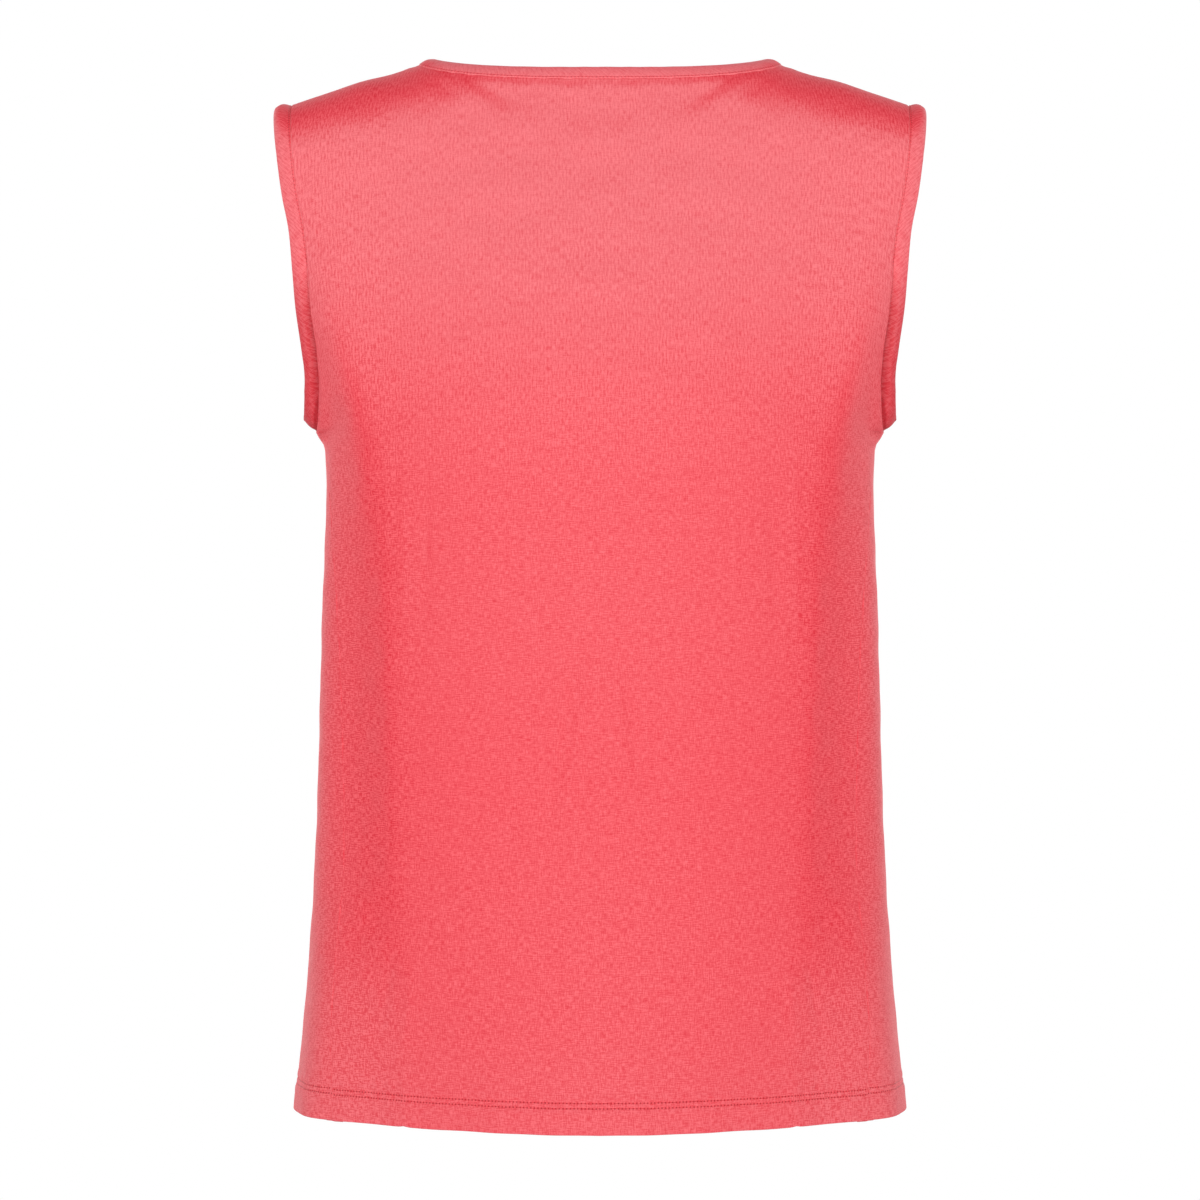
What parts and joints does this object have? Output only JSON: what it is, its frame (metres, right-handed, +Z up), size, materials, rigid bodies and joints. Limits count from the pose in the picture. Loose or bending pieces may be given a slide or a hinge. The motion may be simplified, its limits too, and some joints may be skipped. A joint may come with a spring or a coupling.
{
  "type": "sleeveless blouse",
  "caption": "Sleeveless pull-on top in fine coral jersey, hollow as if worn, with bound neck and armholes, a scooped front neck and a cover-stitched hem.",
  "frame": {"origin": "midway between the two neck points, level with them, where the wearer's shoulders hold the top", "axes": "+Z up; the back faces +Y and the front -Y; X runs from shoulder to shoulder"},
  "size_m": [0.379, 0.253, 0.6149],
  "materials": {
    "jersey": "fine silky jersey"
  },
  "bodies": {
    "root": {"back_panel": "jersey", "front_panel": "jersey", "neck_band": "jersey", "armhole_band_right": "jersey", "armhole_band_left": "jersey"}
  },
  "joints": []
}
